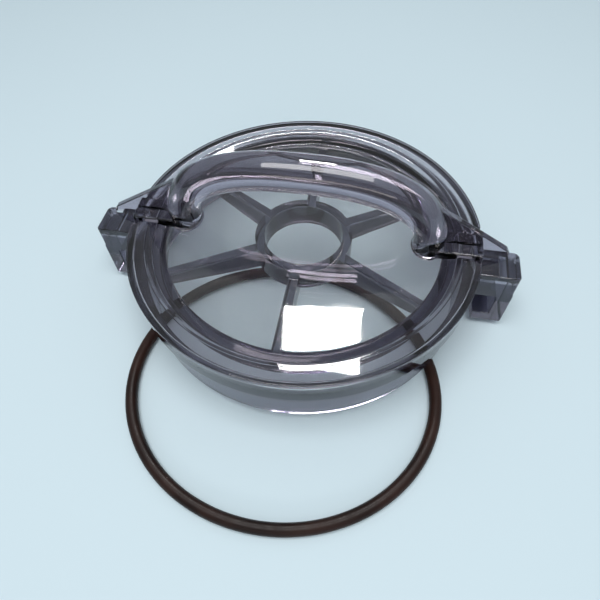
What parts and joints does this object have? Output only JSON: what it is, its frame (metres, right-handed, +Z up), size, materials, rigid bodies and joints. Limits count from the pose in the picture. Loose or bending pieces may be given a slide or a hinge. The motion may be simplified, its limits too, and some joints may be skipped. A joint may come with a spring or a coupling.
{
  "type": "pump strainer lid",
  "caption": "Clear smoke-tinted round pump strainer lid with bow handle, ribbed underside and side locking hooks, one edge lying on its loose rubber seal ring.",
  "frame": {"origin": "middle of the footprint, on the surface that the lid and the ring lie on", "axes": "+Z up, X along the line through the two hooks, -Y from the lid towards the loose seal ring"},
  "size_m": [0.192, 0.205, 0.0763],
  "materials": {
    "smoked_plastic": "gloss",
    "rubber": "satin"
  },
  "bodies": {
    "seal_ring": {"seal_ring": "rubber"},
    "lid": {"window_disc": "smoked_plastic", "step_ring": "smoked_plastic", "rim_plate_rear": "smoked_plastic", "rim_plate_front": "smoked_plastic", "rim_wall": "smoked_plastic", "skirt_wall": "smoked_plastic", "hub_tube": "smoked_plastic", "handle_bar": "smoked_plastic", "rib_1": "smoked_plastic", "rib_2": "smoked_plastic", "rib_3": "smoked_plastic", "rib_4": "smoked_plastic", "rib_5": "smoked_plastic", "rib_6": "smoked_plastic", "handle_foot_left": "smoked_plastic", "arm_left": "smoked_plastic", "web_left": "smoked_plastic", "hook_top_left": "smoked_plastic", "hook_block_left": "smoked_plastic", "hook_wall_left": "smoked_plastic", "hook_tab_left": "smoked_plastic", "handle_foot_right": "smoked_plastic", "arm_right": "smoked_plastic", "web_right": "smoked_plastic", "hook_top_right": "smoked_plastic", "hook_block_right": "smoked_plastic", "hook_wall_right": "smoked_plastic", "hook_tab_right": "smoked_plastic"}
  },
  "joints": [
    {"name": "lid_lift", "type": "slide", "parent": "seal_ring", "child": "lid", "axis": [0, 0, 1], "range_m": [0, 0.06]}
  ]
}
